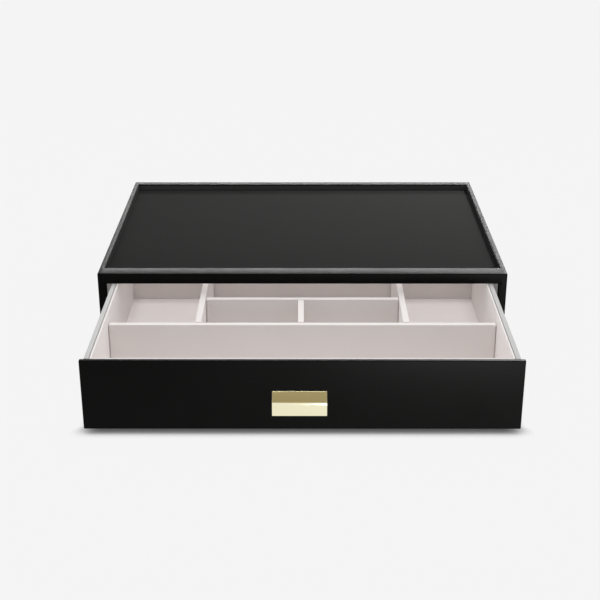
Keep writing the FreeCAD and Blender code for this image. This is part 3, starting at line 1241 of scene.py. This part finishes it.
@dataclass(frozen=True)
class Lamp:
    """A soft box, aimed at a point.

    Attributes:
        name: the lamp's name.
        place: its place, in metres.
        width: its width.
        depth: its other measure.
        power: its power, in watts.
        aim: the point that it is turned to.
    """

    name: str
    place: Point
    width: float
    depth: float
    power: float
    aim: Point = (0.0, -0.08, 0.04)

    def set_up(self, passes: list[bpy.types.Object], spares: list[bpy.types.Object]) -> None:
        """Hang the lamp.

        Args:
            passes: objects that throw no shadow from it.
            spares: objects that it doesn't light.
        """
        data = bpy.data.lights.new(self.name, "AREA")
        data.shape = "RECTANGLE"
        data.size = self.width
        data.size_y = self.depth
        data.energy = self.power
        lamp = bpy.data.objects.new(self.name, data)
        bpy.context.scene.collection.objects.link(lamp)
        lamp.visible_camera = False
        away = Vector(self.aim) - Vector(self.place)
        turn = away.to_track_quat("-Z", "Y").to_matrix().to_4x4()
        lamp.matrix_world = Matrix.Translation(self.place) @ turn
        if passes:
            lamp.light_linking.blocker_collection = self._all_but(passes, "passes")
        if spares:
            lamp.light_linking.receiver_collection = self._all_but(spares, "spares")

    def _all_but(self, objects: list[bpy.types.Object], word: str) -> bpy.types.Collection:
        """Make a linking collection that leaves some objects out.

        Args:
            objects: what it leaves out.
            word: the end of its name.

        Returns:
            The collection.
        """
        group = bpy.data.collections.new(f"{self.name}_{word}")
        for item in objects:
            group.objects.link(item)
        for entry in group.collection_objects:
            entry.light_linking.link_state = "EXCLUDE"
        return group


@dataclass(frozen=True)
class Studio:
    """Pale floor, soft light and camera.

    Attributes:
        backdrop: the background's tone, as the camera and reflections see it.
        zenith: the colour that they see straight above.
        dome: the heights in the sky where one starts and ends turning into the other.
        floor_size: length of the floor's sides, in metres.
        floor_tone: the tone of the floor as light meets it.
        real_shadow: the share of the lit floor in what the camera sees.
        contact: how far the contact shadow reaches, in metres.
        contact_depth: how dark it is.
        contact_lean: the direction that it looks in for what stands close.
        contact_samples: how finely it is worked out.
        front: the sky's light level low down.
        overhead: its level straight above.
        climb: the heights in the sky where one starts and ends turning into the other.
        beside: what both sides of the sky add.
        wings: how far to either side that starts and ends growing.
        key: lamp behind on the right, for the gloss of the dark pieces' tops.
        sheen: low wide lamp behind, for the same.
        top: lamp straight above, for the velvet.
        fill: low lamp in front, for the upright dark faces.
        recess: lamp in front, for the panel's covering alone.
        viewpoint: the camera's.
    """

    backdrop: float = 0.913
    zenith: Colour = (0.32, 0.27, 0.15)
    dome: Span = (0.6, 0.9)
    floor_size: float = 16.0
    floor_tone: float = 0.74
    real_shadow: float = 0.02
    contact: float = 14.0 * MM
    contact_depth: float = 4.2
    contact_lean: Point = (0.0, -0.85, 0.53)
    contact_samples: int = 16
    front: float = 0.26
    overhead: float = 0.58
    climb: Span = (0.2, 0.9)
    beside: float = 1.15
    wings: Span = (0.4, 0.9)
    key: Lamp = Lamp("key", (0.4, 0.42, 0.48), 0.05, 0.05, 6.0)
    sheen: Lamp = Lamp("sheen", (0.2, 1.3, 0.48), 1.5, 0.15, 21.0)
    top: Lamp = Lamp("top_light", (0.0, 0.0, 1.45), 1.0, 0.7, 10.6)
    fill: Lamp = Lamp("fill", (0.24, -0.7, 0.036), 0.3, 0.06, 3.1)
    recess: Lamp = Lamp("recess", (0.0, -0.9, 0.14), 0.6, 0.08, 7.5)
    viewpoint: Viewpoint = Viewpoint()

    def build(self) -> None:
        """Set up everything that isn't the object."""
        bpy.context.scene.view_settings.view_transform = "Standard"
        floor = self._lay_floor()
        self._light_sky()
        self._hang_lamps(floor)
        self.viewpoint.set_up()
        log.info("studio: floor, five lamps and camera")

    def _hang_lamps(self, floor: bpy.types.Object) -> None:
        """Hang the lamps, each linked so that leatherette, velvet and gold keep their own tones.

        Args:
            floor: the studio's floor.
        """
        case = riding(Body.CASE)
        back_wall = [piece for piece in case if piece.name.startswith("back_wall")]
        drawer = riding(Body.DRAWER)
        dividers = [piece for piece in drawer if piece.name.endswith(("divider", "partition"))]
        all_but_panel = [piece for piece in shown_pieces() if piece.name != "top_panel_covering"]
        dark = wearing(Slot.LEATHERETTE, Slot.MATTE, Slot.FELT)
        pale = wearing(Slot.VELVET, Slot.PALE_BOARD, Slot.RAW_BOARD)
        self.key.set_up(passes=back_wall, spares=[*pale, floor])
        self.sheen.set_up(passes=[], spares=[*pale, floor])
        self.top.set_up(passes=[*case, *dividers], spares=dark)
        self.fill.set_up(passes=wearing(Slot.GOLD), spares=[*pale, floor])
        self.recess.set_up(passes=[], spares=[*all_but_panel, floor])

    def _lay_floor(self) -> bpy.types.Object:
        """Lay the floor, whose own tone shows, with its contact shadow and some of its cast shadow.

        Returns:
            The floor.
        """
        deselect()
        bpy.ops.mesh.primitive_plane_add(size=self.floor_size)
        floor = bpy.context.object
        floor.name = "studio_floor"
        material = bpy.data.materials.new("studio_floor")
        material.use_nodes = True
        tree = Tree(material.node_tree)
        matte = tree.add("BsdfDiffuse")
        matte.inputs["Color"].default_value = (*grey(self.floor_tone), 1.0)
        near = tree.add("AmbientOcclusion", samples=self.contact_samples)
        near.inputs["Distance"].default_value = self.contact
        tree.join(tree.feed(tree.add("CombineXYZ"), *self.contact_lean), near.inputs["Normal"])
        shade = tree.compute("POWER", near.outputs["AO"], self.contact_depth)
        glow = tree.add("Emission")
        tree.join(tree.mix_colours(shade, grey(0.0), grey(self.backdrop)), glow.inputs["Color"])
        seen = tree.mix_shaders(self.real_shadow, glow.outputs[0], matte.outputs[0])
        choice = tree.mix_shaders(background_rays(tree), matte.outputs[0], seen)
        tree.join(choice, tree.add("OutputMaterial").inputs["Surface"])
        floor.data.materials.append(material)
        floor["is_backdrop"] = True
        return floor

    def _light_sky(self) -> None:
        """Light from all round: brightest from both sides, and dim low down in front and behind."""
        world = bpy.data.worlds.new("studio")
        world.use_nodes = True
        bpy.context.scene.world = world
        tree = Tree(world.node_tree)
        place = tree.add("SeparateXYZ")
        tree.join(tree.add("TexCoord").outputs["Generated"], place.inputs[0])
        height = place.outputs["Z"]
        aside = tree.compute("ABSOLUTE", place.outputs["X"])
        middle = tree.remap(height, self.climb, (self.front, self.overhead), smooth=True)
        sides = tree.remap(aside, self.wings, (0.0, self.beside), smooth=True)
        lit = tree.add("Background")
        tree.join(tree.compute("ADD", middle, sides), lit.inputs["Strength"])
        above = tree.remap(height, self.dome, FULL, smooth=True)
        seen = tree.add("Background")
        tree.join(tree.mix_colours(above, grey(self.backdrop), self.zenith), seen.inputs["Color"])
        choice = tree.mix_shaders(background_rays(tree), lit.outputs[0], seen.outputs[0])
        tree.join(choice, tree.add("OutputWorld").inputs["Surface"])


# ---------------------------------------- assembly


def riding(body: Body) -> list[bpy.types.Object]:
    """Every piece and node that rides on a body."""
    return [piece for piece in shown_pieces() if body_of(piece) == [body.value]]


def wearing(*slots: Slot) -> list[bpy.types.Object]:
    """Every piece and node that wears the finish of one of some slots."""
    names = [FINISHES[slot].name for slot in slots]
    return [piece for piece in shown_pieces() if any(name in piece.data.materials for name in names)]


def main() -> None:
    """Build every sub-assembly in order, then the studio round them."""
    for assembly in (CaseShell(), CaseLining(), DrawerFront(), DrawerBox(), VelvetInterior(), Pull()):
        assembly.build()
        log.info("%s built", type(assembly).__name__)
    Studio().build()
    deselect()


if __name__ == "__main__":
    main()
